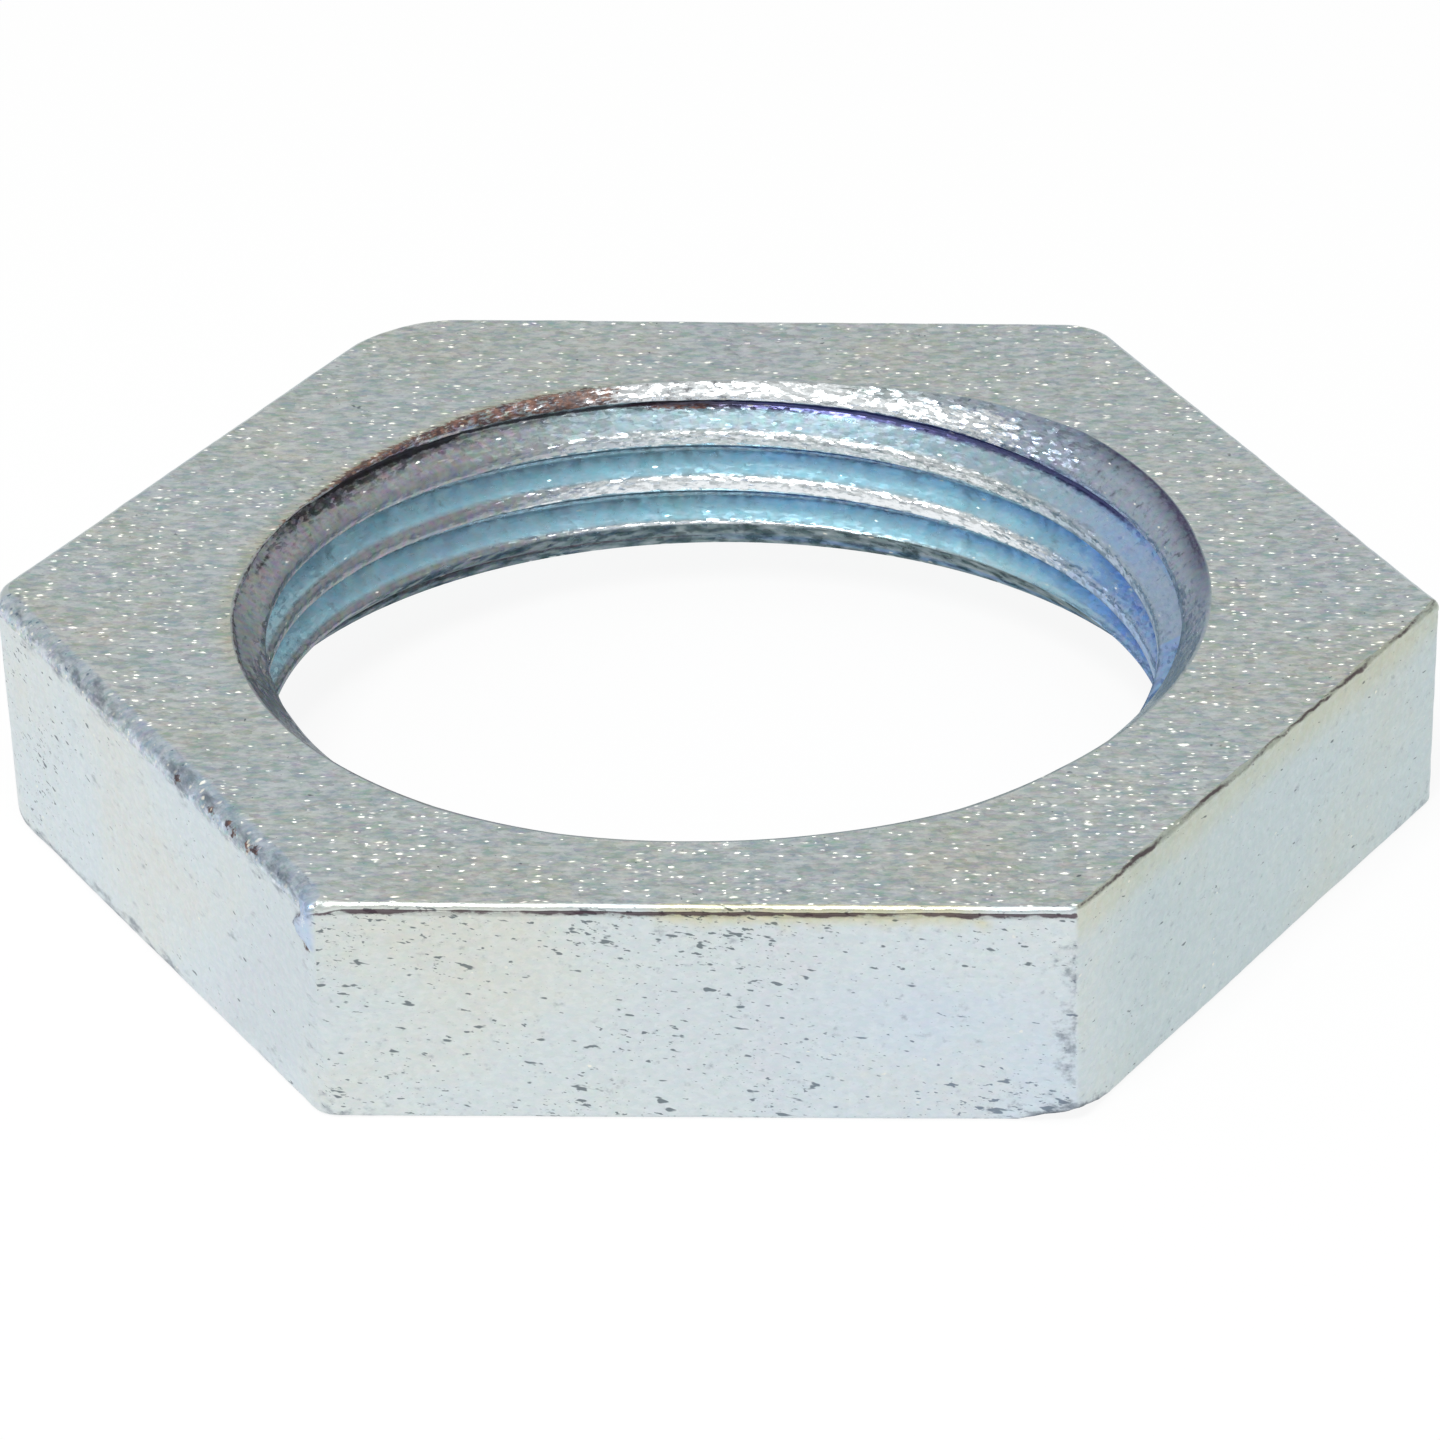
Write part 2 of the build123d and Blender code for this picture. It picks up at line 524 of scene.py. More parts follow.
def smear_reach(spots):
    """How far inside the edge of the smeared lip of metal these places are."""
    side_angle, side_place = side_frame(spots)
    height = spots[:, 2]
    narrowing = np.sqrt(np.clip((height - SMEAR_FOOT) / 0.9, 0, 1))
    narrowing *= 0.85 + 0.25 * ruggedness(spots, 0.9, 14)
    narrowing *= 1 - 0.3 * hill(height, 9.4, 0.6)
    return np.where(side_angle == 210, side_place - CORNER_PLACE + SMEAR_WIDTH * narrowing, FAR_OUTSIDE)


def smear_at(spots):
    """How fully the smeared lip of metal covers these places, from 0 to 1."""
    return ramp(smear_reach(spots), -0.16, 0.16) * ramp(spots[:, 2], TOP, TOP - 0.3)


def knock_at(spots):
    """How far outside the knocked corner's sloping plane these places are, and the plane's facing."""
    corner_way = np.array((math.cos(math.radians(KNOCKED_CORNER)), math.sin(math.radians(KNOCKED_CORNER))))
    corner_reach = FLAT_RADIUS / math.cos(math.pi / 6)
    plane = unit(np.array((*(corner_way * KNOCK_HEIGHT / KNOCK_DEPTH), -1.0)))
    ragged_knock = 0.05 * ruggedness(spots, 0.7, 8)
    return spots @ plane - plane[:2] @ (corner_way * (corner_reach - KNOCK_DEPTH)) + ragged_knock, plane


def is_on(surface, *names):
    """Which points or faces lie on these surfaces."""
    return np.isin(surface, [NAMES.index(name) for name in names])


outside = is_on(surface, "roll", "lip", "side", "foot")
on_face = is_on(surface, "face")
waves = ruggedness(place, 3.5, 5)
fine_waves = ruggedness(place, 0.8, 6)
# bumps drawn out along the sides, for the rolled edge; the last number picks a slice of the noise
drawn_out = np.stack((0.4 * side_frame(place)[1], 1.2 * place[:, 2], np.full(len(place), 7.0)), -1)
edge_waves = ruggedness(drawn_out, 0.8, 12)
facing = np.zeros((len(place), 2))
facing[outside] = outline(theta[outside], place[outside, 2])[1]
rolled_left = is_on(surface, "roll") * window(np.degrees(theta), 182, 238, 2)
swell = 0.02 * waves + 0.012 * fine_waves + 0.035 * rolled_left * edge_waves
swell += smear_at(place) * SMEAR_THICKNESS * (1 + 0.5 * fine_waves)
place[:, :2] += facing * swell[:, None]
rim_ease = ramp(along, 0, 0.12) * ramp(along, 1, 0.9)
place[on_face, 2] -= (0.02 * (1 + waves[on_face]) + 0.006 * (1 + fine_waves[on_face])) * rim_ease[on_face]

depth, knock_plane = knock_at(place)
place -= knock_plane * np.maximum(depth, 0)[:, None]
print("smeared lip:", int((smear_at(place) > 0.5).sum()), "points, knocked corner:", int((depth > 0).sum()))

# %% [markdown]
# ## Weld and tidy
# The ring was spun open, so its first and last columns are welded here. Points that the cuts moved
# onto each other are joined too, and then every face is turned outward.

# %% Weld and tidy
for point, spot in zip(points, place):
    point.co = Vector(spot) * MM
bmesh.ops.remove_doubles(ring, verts=ring.verts[:], dist=0.002 * MM)
bmesh.ops.dissolve_degenerate(ring, edges=ring.edges[:], dist=0.001 * MM)
bmesh.ops.recalc_face_normals(ring, faces=ring.faces[:])
closed = all(edge.is_manifold for edge in ring.edges)
print("closed:", closed, "volume (mm3):", round(ring.calc_volume(signed=True) / MM**3))
nut_mesh = bpy.data.meshes.new("forged_locknut")
ring.to_mesh(nut_mesh)
ring.free()
nut = bpy.data.objects.new("forged_locknut", nut_mesh)
bpy.context.scene.collection.objects.link(nut)
nut_mesh.polygons.foreach_set("use_smooth", [True] * len(nut_mesh.polygons))
triangles = sum(len(face.vertices) - 2 for face in nut_mesh.polygons)
print("faces:", len(nut_mesh.polygons), "triangles:", triangles)

# %% [markdown]
# ## Where the plating changed, and where light is painted
# Rust, soot from the plating bath, blue and violet passivation, painted shade and painted highlights
# each have their own mask, kept on the points of the mesh. The masks only say where something is
# strong. The materials break them up with noise, so that nothing ends in a clean line. First come the
# places that the masks are made from: which surface a point is on, and where it stands on it.

# %% Places on the nut
def read_all(items, key, kind, size=1):
    """One value, or a few, of every point, corner or face as an array."""
    values = np.empty(len(items) * size, dtype=kind)
    items.foreach_get(key, values)
    return values.reshape(-1, size) if size > 1 else values


spots = read_all(nut_mesh.vertices, "co", float, 3) / MM
surface = read_all(nut_mesh.attributes["surface"].data, "value", np.int32)
along = read_all(nut_mesh.attributes["along"].data, "value", np.float32)
x, y, z = spots.T
theta = np.arctan2(y, x) % math.tau
degrees = np.degrees(theta)
right_left = (degrees + 180) % 360 - 180
from_bore = np.hypot(x - BORE_CENTRE[0], y - BORE_CENTRE[1])
beyond_rim = from_bore - sum(rim_radius(theta))
side_angle, side_place = side_frame(spots)
from_side = FLAT_RADIUS - x * np.cos(np.radians(side_angle)) - y * np.sin(np.radians(side_angle))
on_roll, on_lip = is_on(surface, "roll"), is_on(surface, "lip")
above = is_on(surface, "face", "roll")
outside = is_on(surface, "roll", "lip", "side", "foot")
wall = (is_on(surface, "thread") | (above & (beyond_rim < 0.02))).astype(float)
front, left, right = ((side_angle == angle) & outside for angle in (270, 210, 330))
patches = ruggedness(spots, 2.6, 21)
tatters = ruggedness(spots, 0.75, 22)
print("points in the bore:", int(wall.sum()), "and on the outside:", int(outside.sum()))

# %% [markdown]
# The bore is sorted further. A point belongs to a countersink where that cuts deeper than the tap,
# and otherwise to the thread. There it counts as part of a crest, a flank or a root by how far it
# has climbed through one pitch.

# %% Places in the bore
upper, lower, groove = cuts(theta, z)
threaded = np.maximum(groove, CREST_RADIUS)
cone = wall * ramp(upper - threaded, -0.02, 0.06)
lower_cone = wall * ramp(lower - threaded, -0.02, 0.06)
thread = wall * (1 - cone) * (1 - lower_cone)
climb = (z - CREST_FOOT - PITCH * theta / math.tau) / PITCH + 0.1
first_turn = climb >= 0
part = climb % 1 - 0.1
crest = window(part, 0, CREST_SHARE, 0.02) * thread
crest_edge = hill(part, 0.0, 0.045)
flank = window(part, CREST_SHARE + 0.01, 0.67, 0.03) * thread
root = window(part, 0.60, 0.80, 0.025) * wall * (1 - 0.7 * cone)
print("points on crests, flanks and roots:", [int(area.sum()) for area in (crest, flank, root)])

# %% [markdown]
# ## Stains, painted shade and painted highlights in the thread
# The flanks at the back are teal, those on the right are violet, and the left side is dull and brown.
# Painted highlights whiten the crests at the back, and dark lines of painted shade stand in the roots.
# Painted shade also darkens the first flank, the crests on the left and the lowest turns.

# %% Stains in the thread
MASKS = (
    "teal", "violet", "dull", "deep_shade", "painted_highlight", "torn", "soot_and_shade",
    "rust", "yellow", "line", "brown", "grime_and_shade", "pitting", "shade",
)
masks = {name: np.zeros(len(spots)) for name in MASKS}
masks["teal"] += flank * window(degrees, 34, 178, 14) * ramp(z, 2.9, 3.3)
masks["teal"] *= np.where(first_turn, 0.42 * ramp(degrees, 125, 98), 1)
untinted = wall * (1 - masks["teal"])
masks["violet"] += thread * window(right_left, -70, 40, 16) * (1 - 0.35 * crest) * (1 - 0.5 * first_turn)
masks["violet"] += 0.30 * flank * first_turn * window(degrees, 20, 85, 8)
masks["violet"] += root * window(degrees, 12, 90, 8)
masks["dull"] += untinted * window(degrees, 114, 260, 14)
# painted shade: the first flank at the back is made dull and darker
masks["dull"] += 0.75 * flank * first_turn * window(degrees, 40, 114, 14)
masks["brown"] += 0.32 * untinted * window(degrees, 140, 215, 14) * ramp(patches + 0.6 * tatters, -0.3, 0.9)
masks["brown"] += 0.5 * wall * window(degrees, 196, 240, 10)
# painted shade: the crests and lower flanks on the left, and the lowest turns of the thread
masks["deep_shade"] += 0.30 * crest * window(degrees, 118, 260, 8) * (1 - 0.8 * crest_edge)
masks["deep_shade"] += 0.35 * flank * window(degrees, 180, 240, 8)
masks["deep_shade"] += 0.8 * thread * ramp(z, 3.3, 2.9)
# painted highlights: whitened crests at the back, first flank, crests' lower edges and right wall
masks["painted_highlight"] += crest * window(degrees, 44, 114, 14) * (1 - 0.45 * first_turn)
masks["painted_highlight"] += 0.25 * thread * first_turn * window(part, 0.2, 0.47, 0.05) * window(degrees, 62, 104, 8)
masks["painted_highlight"] += 0.8 * thread * crest_edge * window(degrees, 105, 176, 8)
masks["painted_highlight"] += 0.22 * thread * window(degrees, 10, 66, 10)
masks["torn"] += 0.5 * crest * window(degrees, 20, 125, 8)
# painted shade: dark lines in the roots, where the turn above overhangs them
masks["line"] += 1.1 * root * first_turn * window(degrees, 28, 104, 6)
lower_roots = thread * (1 - first_turn) * window(part, 0.61, 0.80, 0.02)
masks["line"] += 0.55 * lower_roots * window(degrees, 20, 190, 10)
# painted shade darkens the first flank at the back
masks["shade"] += flank * first_turn * window(degrees, 40, 130, 10)
masks["pitting"] += 0.25 * wall + 0.48 * flank * window(degrees, 20, 180, 14)
print("stains in the thread:", [name for name in MASKS if masks[name].any()])

# %% [markdown]
# ## Stains, painted shade and painted highlights on the countersinks
# The upper countersink has a painted highlight and torn marks at the back, a band of painted shade in
# brown along its rim on the right, and rust at the back left, where soot and painted shade also fill
# the first root. The lower one is darkened all round with painted shade.

# %% Stains on the countersinks
# where painted shade fills the first root: shares of a pitch, by angle
ROOT_SHADE_FROM = {100: 0.63, 125: 0.63, 136: 0.55, 150: 0.61, 200: 0.64}
ROOT_SHADE_TO = {100: 0.69, 126: 0.72, 136: 0.86, 150: 0.84, 165: 0.73, 200: 0.70}


def from_table(table, place):
    """A value at each place, blended between the places of a table."""
    return np.interp(place, list(table), list(table.values()))


shaded_root = window(part, from_table(ROOT_SHADE_FROM, degrees), from_table(ROOT_SHADE_TO, degrees), 0.03)
right_side = window(right_left, -10, 62, 10)
# painted shade in the first root at the back left, under the overhanging rim
masks["soot_and_shade"] += wall * first_turn * shaded_root * window(degrees, 98, 200, 5)
# painted shadow of the overhang along the rim at the back left
masks["soot_and_shade"] += 0.6 * hill(beyond_rim, -0.02, 0.09) * window(degrees, 150, 205, 6)
masks["soot_and_shade"] += 0.36 * cone * window(degrees, 88, 116, 4)
masks["soot_and_shade"] += 0.30 * cone * window(right_left, 8, 46, 6)
masks["violet"] += 0.45 * cone * right_side
masks["dull"] += 0.45 * cone * right_side
# painted shade over the lower countersink, low in the bore
masks["deep_shade"] += lower_cone * (0.82 + 0.18 * tatters)
# painted shade along the rim on the right: darker, brown, with a dark line at the edge
masks["deep_shade"] += 0.4 * cone * ramp(beyond_rim, -0.9, -0.15) * window(right_left, 2, 46, 10)
masks["brown"] += 1.25 * cone * ramp(beyond_rim + 0.15 * patches, -0.95, -0.15) * window(right_left, 4, 48, 9)
masks["line"] += 0.62 * cone * ramp(beyond_rim, -0.55, -0.12) * window(right_left, 6, 46, 8)
# painted highlight where the countersink reflects the lamp, at the back and just right of it
masks["painted_highlight"] += 1.3 * cone * window(degrees, 74, 112, 8)
masks["painted_highlight"] += 0.9 * cone * window(degrees, 50, 82, 8) * ramp(beyond_rim, -0.35, -0.65)
masks["torn"] += 0.7 * cone * window(degrees, 40, 150, 8)
masks["rust"] += cone * window(degrees, 104, 152, 4) * (0.84 + 0.25 * tatters)
masks["rust"] += above * hill(beyond_rim, 0.05, 0.36) * window(degrees, 106, 152, 6) * (0.85 + 0.3 * patches)
masks["rust"] += 0.65 * above * hill(beyond_rim, 0.05, 0.22) * window(degrees, 150, 172, 6)
masks["rust"] += wall * hill(z, 9.12, 0.10) * window(degrees, 92, 101, 1.5)
masks["yellow"] += 0.5 * above * hill(beyond_rim, 0.2, 0.5) * window(degrees, 100, 200, 10)
masks["pitting"] += 0.25 * cone
print("rust covers", int((masks["rust"] > 0.5).sum()), "points of the rim")

# %% [markdown]
# ## Stains and painted shade on the flats
# Each flat that faces the camera has its own marks: a dark line of painted shade under the front burr,
# a grey band of grime and painted shade with rust spots on the rolled edge at the left, and a ragged
# line of painted shade on the right, where the whole flat is darkened with painted shade too. The
# flats are darker at the foot of the corners and along the front's right corner, and painted shade
# outlines the smeared lip.

# %% Stains on the flats
RUST_SPOTS = (
    # place along the left-front side, height, width and depth of the spot (mm)
    (2.6, 9.7, 0.3, 0.22), (5.9, 9.7, 0.26, 0.22), (7.4, 9.8, 0.3, 0.22), (8.1, 9.65, 0.22, 0.22),
    (9.4, 9.7, 0.22, 0.22), (10.0, 9.8, 0.25, 0.22), (15.0, 7.72, 0.32, 0.2),
)
# how much grime and painted shade the grey band on the left rolled edge has, along that side
GREY_BAND = {-16: 0.0, -13.5: 0.35, -9: 0.55, -4: 0.45, 0: 0.5, 6: 0.62, 12: 0.62, 16: 0.4}

for spot_place, spot_height, width, tall in RUST_SPOTS:
    masks["rust"] += 1.3 * left * hill(side_place, spot_place, width) * hill(z, spot_height, tall)
masks["rust"] += 1.4 * front * hill(side_place, -2.8, 0.18) * hill(z, 9.6, 0.15)
creamy = window(side_place + 2 * patches, -2, 12.7, 1.5) * ramp(z, 9.0 + 0.3 * tatters, 9.75)
masks["yellow"] += 0.9 * front * creamy
masks["yellow"] += front * hill(side_place, 11.9, 0.35) * hill(z, 9.4, 0.16)
masks["yellow"] += 0.14 * front * ramp(side_place, -2, -9) * ramp(z, 3.0, 8.5)
masks["yellow"] += 0.08 * front * window(side_place, -15, 6, 4)
masks["yellow"] += 0.5 * right * ramp(z, 8.0, 9.6)
masks["violet"] += 0.12 * front * ramp(side_place, -4, 12) * ramp(z, 8, 5)
masks["violet"] += 0.25 * left * ramp(z, 9.0, 9.7)
# painted shadow in the groove under the front burr
under_burr = hill(along, 0.28 + 0.22 * tatters, 0.28) * (1.15 + 0.45 * patches + 0.3 * tatters)
masks["line"] += front * on_lip * under_burr
masks["line"] += front * on_roll * hill(along, 0.04, 0.13) * (0.35 + 0.5 * patches)
# a ragged dark line of painted shade on the right rolled edge
masks["line"] += right * on_roll * hill(along, 0.45 + 0.30 * tatters, 0.30) * (0.66 + 0.35 * patches)
# grime and painted shade in the grey band on the rolled edge at the left
band = left * from_table(GREY_BAND, side_place)
masks["grime_and_shade"] += band * on_roll * hill(along, 0.7, 0.45) * (0.9 + 0.5 * patches)
masks["grime_and_shade"] += band * on_lip * hill(along, 0.0, 0.7) * (0.7 + 0.5 * patches)
# a darker strip along the front's right corner
corner_strip = hill(side_place + 0.3 * tatters, 15.5, 0.6) * window(z, 0.9, 9.0, 0.8)
masks["grime_and_shade"] += front * corner_strip * (0.42 + 0.25 * patches)
# darker near the foot of the corners, and on the knocked corner
masks["grime_and_shade"] += 0.4 * (front | right) * ramp(z, 1.5, 0.2) * hill(np.abs(side_place), 15, 2.4)
masks["grime_and_shade"] += 0.6 * left * ramp(z, 0.9, 0.2) * window(side_place, -16, 4, 3)
masks["grime_and_shade"] += 0.75 * ramp(knock_at(spots)[0], -0.10, -0.01) * (z < 1.4)
pitted = 0.27 * outside + 0.38 * left * ramp(side_place, -4, -12)
pitted += front * (0.30 + 0.29 * ramp(z, 6.8, 9.2) * ramp(side_place, 8, 0) + 0.20 * ramp(z, 2.8, 1.2))
masks["pitting"] += pitted * (1 + 0.5 * patches)
# painted shade darkens the right-front flat, least at the corner next to the front
masks["shade"] += right * (0.35 + 0.4 * ramp(side_place, -16, -10))

smeared = left * smear_at(spots)
smear_inside = smear_reach(spots)
# painted shade round the edge of the smeared lip
smear_edge = left * hill(smear_inside, 0.0, 0.17) * ramp(z, 9.9, 9.6) * ramp(z, 7.5, 7.8)
masks["line"] += smear_edge * (0.62 + 0.3 * tatters)
masks["violet"] += 0.40 * smeared
# painted highlight on the smeared lip
masks["painted_highlight"] += 0.7 * smeared * hill(smear_inside, 0.55, 0.4) * window(z, 8.7, 9.6, 0.2)
for name, mask in masks.items():
    attribute = nut_mesh.attributes.new(name, "FLOAT", "POINT")
    attribute.data.foreach_set("value", np.clip(mask, 0, 1.5).astype(np.float32))
print("masks:", {name: round(float(mask.max()), 2) for name, mask in masks.items()})

# %% [markdown]
# ## Round and along
# The marks of the tap run along the thread, and those of the die along the flats. Noise can only be
# stretched that way if the walls are unrolled, so the corners of their faces get a UV map in
# millimetres: round the nut, and up it.

# %% Round and along
FLAT_LENGTH = 2 * FLAT_RADIUS * math.tan(math.pi / 6)

loops = read_all(nut_mesh.loops, "vertex_index", np.int32)
starts = read_all(nut_mesh.polygons, "loop_start", np.int32)
totals = read_all(nut_mesh.polygons, "loop_total", np.int32)
face_of_loop = np.repeat(np.arange(len(starts)), totals)
# round the bore it runs with the angle, and round the outside along each flat in turn
round_bore = (theta * CREST_RADIUS, math.tau * CREST_RADIUS)
round_flats = (side_place + FLAT_LENGTH * side_angle / 60, 6 * FLAT_LENGTH)
unrolled = []
for length, full in (round_bore, round_flats):
    length = length[loops]
    most = np.maximum.reduceat(length, starts)[face_of_loop]
    unrolled.append(np.where(most - length > full / 2, length + full, length))
on_bore = is_on(surface, "thread")[loops]
on_bore |= np.maximum.reduceat(on_bore, starts)[face_of_loop]
round_edge = np.maximum(from_side[loops], 0) * np.sign(z[loops] - TOP / 2)
across = np.where(on_bore, z[loops] + 0.5 * from_bore[loops], z[loops] + round_edge)
unrolled = np.stack((np.where(on_bore, *unrolled), across), -1)
uv_map = nut_mesh.uv_layers.new(name="unrolled")
uv_map.uv.foreach_set("vector", unrolled.astype(np.float32).ravel())
print("unrolled:", unrolled.min(0).round(1), unrolled.max(0).round(1))

# %% [markdown]
# Every face gets one of four finishes by the surface that its corners lie on. The rolled edge on the
# left-front side keeps the coarse crystals of the face.

# %% A finish for each face
MATERIAL_OF = {"face": 0, "roll": 1, "lip": 1, "side": 1, "foot": 1, "seat": 3, "dish": 3, "thread": 2}

first_surface = np.minimum.reduceat(surface[loops], starts)
last_surface = np.maximum.reduceat(surface[loops], starts)
# a face between the last surface of the section and the first one belongs to the last
wraps = is_on(last_surface, "thread") & is_on(first_surface, "face")
face_surface = np.where(wraps, NAMES.index("thread"), first_surface)
rolled_over = is_on(face_surface, "roll") & (side_angle == 210)[loops[starts]]
slots = np.array([MATERIAL_OF[name] for name in NAMES])[face_surface]
slots[rolled_over] = MATERIAL_OF["face"]
nut_mesh.polygons.foreach_set("material_index", slots.astype(np.int32))
print("faces of each material:", np.bincount(slots))

# %% [markdown]
# ## Helpers for shader nodes
# Most of the node trees below are small sums. These helpers keep each step on one line, and start
# and use the groups that several materials share.

# %% Helpers for shader nodes
def math_of(tree, operation, *values, clamp=False):
    """One step of arithmetic on values."""
    settings = {"operation": operation, "use_clamp": clamp}
    return node(tree, "ShaderNodeMath", dict(enumerate(values)), **settings).outputs[0]


def vector_of(tree, operation, *values, scale=None):
    """One step of arithmetic on vectors."""
    inputs = dict(enumerate(values))
    if scale is not None:
        inputs["Scale"] = scale
    return node(tree, "ShaderNodeVectorMath", inputs, operation=operation).outputs[0]


def mix_of(tree, factor, first, second, blend="MIX"):
    """Two colours mixed."""
    inputs = {0: factor, 6: first, 7: second}
    return node(tree, "ShaderNodeMix", inputs, data_type="RGBA", blend_type=blend).outputs[2]


def ease_of(tree, value, low, high, start=0.0, end=1.0):
    """Eases from start at low to end at high."""
    inputs = {"Value": value, "From Min": low, "From Max": high, "To Min": start, "To Max": end}
    return node(tree, "ShaderNodeMapRange", inputs, interpolation_type="SMOOTHSTEP").outputs[0]


def noise_of(tree, vector, scale, detail=2.0, roughness=0.5):
    """Noise at this scale: a value and a colour."""
    inputs = {"Vector": vector, "Scale": scale, "Detail": detail, "Roughness": roughness}
    return node(tree, "ShaderNodeTexNoise", inputs).outputs


def turned_by(tree, vector, angle):
    """The same place turned about the nut's axis."""
    inputs = {"Vector": vector, "Angle": angle}
    return node(tree, "ShaderNodeVectorRotate", inputs, rotation_type="Z_AXIS").outputs[0]


def mask_of(tree, name):
    """A mask kept on the mesh."""
    return node(tree, "ShaderNodeAttribute", attribute_name=name).outputs["Fac"]


def start_group(name, inputs, outputs):
    """An empty node group with named inputs and outputs."""
    tree = bpy.data.node_groups.new(name, "ShaderNodeTree")
    for kind, sockets in (("INPUT", inputs), ("OUTPUT", outputs)):
        for socket, socket_type in sockets.items():
            tree.interface.new_socket(name=socket, in_out=kind, socket_type="NodeSocket" + socket_type)
    return tree, tree.nodes.new("NodeGroupInput").outputs, tree.nodes.new("NodeGroupOutput").inputs


def use_group(tree, group, inputs):
    """The outputs of a group that is used in this tree."""
    return node(tree, "ShaderNodeGroup", inputs, node_tree=group).outputs


# %% [markdown]
# ## Crystals
# Zinc grows as small crystals that tilt every way. Each cell of a Voronoi pattern is one crystal,
# and its random colour tilts the normal. A few crystals lean so far forward that they catch the
# lamp, which makes them glint. Slow noise gathers the glints in some places. Lift leans the whole
# surface up or down a little, which makes it reflect a darker or a lighter part of the room.

# %% Crystals
GLINT_LEAN = (-0.08, -0.80, 0.0)

crystals, given, result = start_group(
    "crystals",
    {"Vector": "Vector", "Tilt": "Float", "Glints": "Float", "Lift": "Float"},
    {"Normal": "Vector", "Fleck": "Float", "Glint": "Float"},
)
wobble = noise_of(crystals, given["Vector"], 3.0)["Color"]
wobble = vector_of(crystals, "SCALE", wobble, scale=0.22)
bent = vector_of(crystals, "ADD", given["Vector"], wobble)
cells = node(crystals, "ShaderNodeTexVoronoi", {"Vector": bent, "Scale": 4.4}).outputs
lot = node(crystals, "ShaderNodeSeparateColor", {0: cells["Color"]}).outputs
gathered = ease_of(crystals, noise_of(crystals, given["Vector"], 0.35, 3.0)["Fac"], 0.35, 0.65, 0.35, 1.0)
share = math_of(crystals, "MULTIPLY", given["Glints"], gathered)
chosen = math_of(crystals, "LESS_THAN", lot[0], share)
glint_size = math_of(crystals, "MULTIPLY_ADD", lot[2], 0.34, 0.16)
inside = math_of(crystals, "DIVIDE", cells["Distance"], glint_size)
glint = math_of(crystals, "MULTIPLY", ease_of(crystals, inside, 1.3, 0.5), chosen)
strength = ease_of(crystals, lot[1], 0.0, 1.0, 0.5, 1.0)
glint = math_of(crystals, "MULTIPLY", glint, strength)
grain = noise_of(crystals, given["Vector"], 7.0, 3.0)
leans = [
    vector_of(crystals, "SCALE", GLINT_LEAN, scale=glint),
    vector_of(crystals, "SCALE", (0.0, 0.0, 1.0), scale=given["Lift"]),
]
for source in (cells, grain):
    way = vector_of(crystals, "SUBTRACT", source["Color"], (0.5, 0.5, 0.5))
    leans.append(vector_of(crystals, "SCALE", way, scale=given["Tilt"]))
tilted = node(crystals, "ShaderNodeNewGeometry").outputs["Normal"]
for lean in leans:
    tilted = vector_of(crystals, "ADD", tilted, lean)
crystals.links.new(vector_of(crystals, "NORMALIZE", tilted), result["Normal"])
crystals.links.new(lot[1], result["Fleck"])
crystals.links.new(glint, result["Glint"])
print("crystals made of", len(crystals.nodes), "nodes")

# %% [markdown]
# ## Pits
# Scale and gas leave small dark pits, drawn out along the metal's flow. Noise rises above a
# threshold only here and there, so its peaks are the pits. The amount lowers the threshold.

# %% Pits
PIT_SIZES = ((1.25, 0.742), (2.4, 0.737), (4.5, 0.762))

pits, given, result = start_group("pits", {"Vector": "Vector", "Amount": "Float"}, {"Mask": "Float"})
pit_masks = []
for scale, threshold in PIT_SIZES:
    peaks = noise_of(pits, vector_of(pits, "ADD", given["Vector"], (scale * 9, 0, 0)), scale, 2.0, 0.6)
    height = math_of(pits, "MULTIPLY_ADD", given["Amount"], 0.12, peaks["Fac"])
    pit_masks.append(ease_of(pits, height, threshold - 0.01, threshold + 0.04))
most = math_of(pits, "MAXIMUM", pit_masks[0], pit_masks[1])
pits.links.new(math_of(pits, "MAXIMUM", most, pit_masks[2]), result["Mask"])
print("pits of", len(PIT_SIZES), "sizes")

# %% [markdown]
# ## Film
# Passivated zinc carries a film as thin as light waves are long, so its tint drifts from cream over
# green and pale blue to lilac. Slow noise picks the tint, and faster noise mottles it.

# %% Film
TINTS = {
    0.30: (1.0, 0.94, 0.80, 1), 0.42: (0.98, 1.0, 0.93, 1), 0.52: (0.93, 1.0, 1.0, 1),
    0.62: (0.90, 0.97, 1.0, 1), 0.74: (1.0, 0.93, 0.98, 1),
}

film, given, result = start_group("film", {"Vector": "Vector", "Strength": "Float"}, {"Tint": "Color"})
slow = math_of(film, "MULTIPLY", noise_of(film, given["Vector"], 0.13, 2.0)["Fac"], 0.75)
fast = noise_of(film, given["Vector"], 1.6, 3.0, 0.6)["Fac"]
bands = node(film, "ShaderNodeValToRGB", {"Fac": math_of(film, "MULTIPLY_ADD", fast, 0.25, slow)})
while len(bands.color_ramp.elements) < len(TINTS):
    bands.color_ramp.elements.new(0.5)
for element, (position, tint) in zip(bands.color_ramp.elements, TINTS.items()):
    element.position = position
    element.color = tint
film.links.new(mix_of(film, given["Strength"], (1, 1, 1, 1), bands.outputs["Color"]), result["Tint"])
print("film of", len(TINTS), "tints")

# %% [markdown]
# ## Weather and painted light
# Every surface takes the same stains, painted shade and painted highlights. The masks on the mesh are
# compared with one noise, so a weak mask leaves a few flecks and a strong one covers the metal. Rust
# comes last, because it is on top.

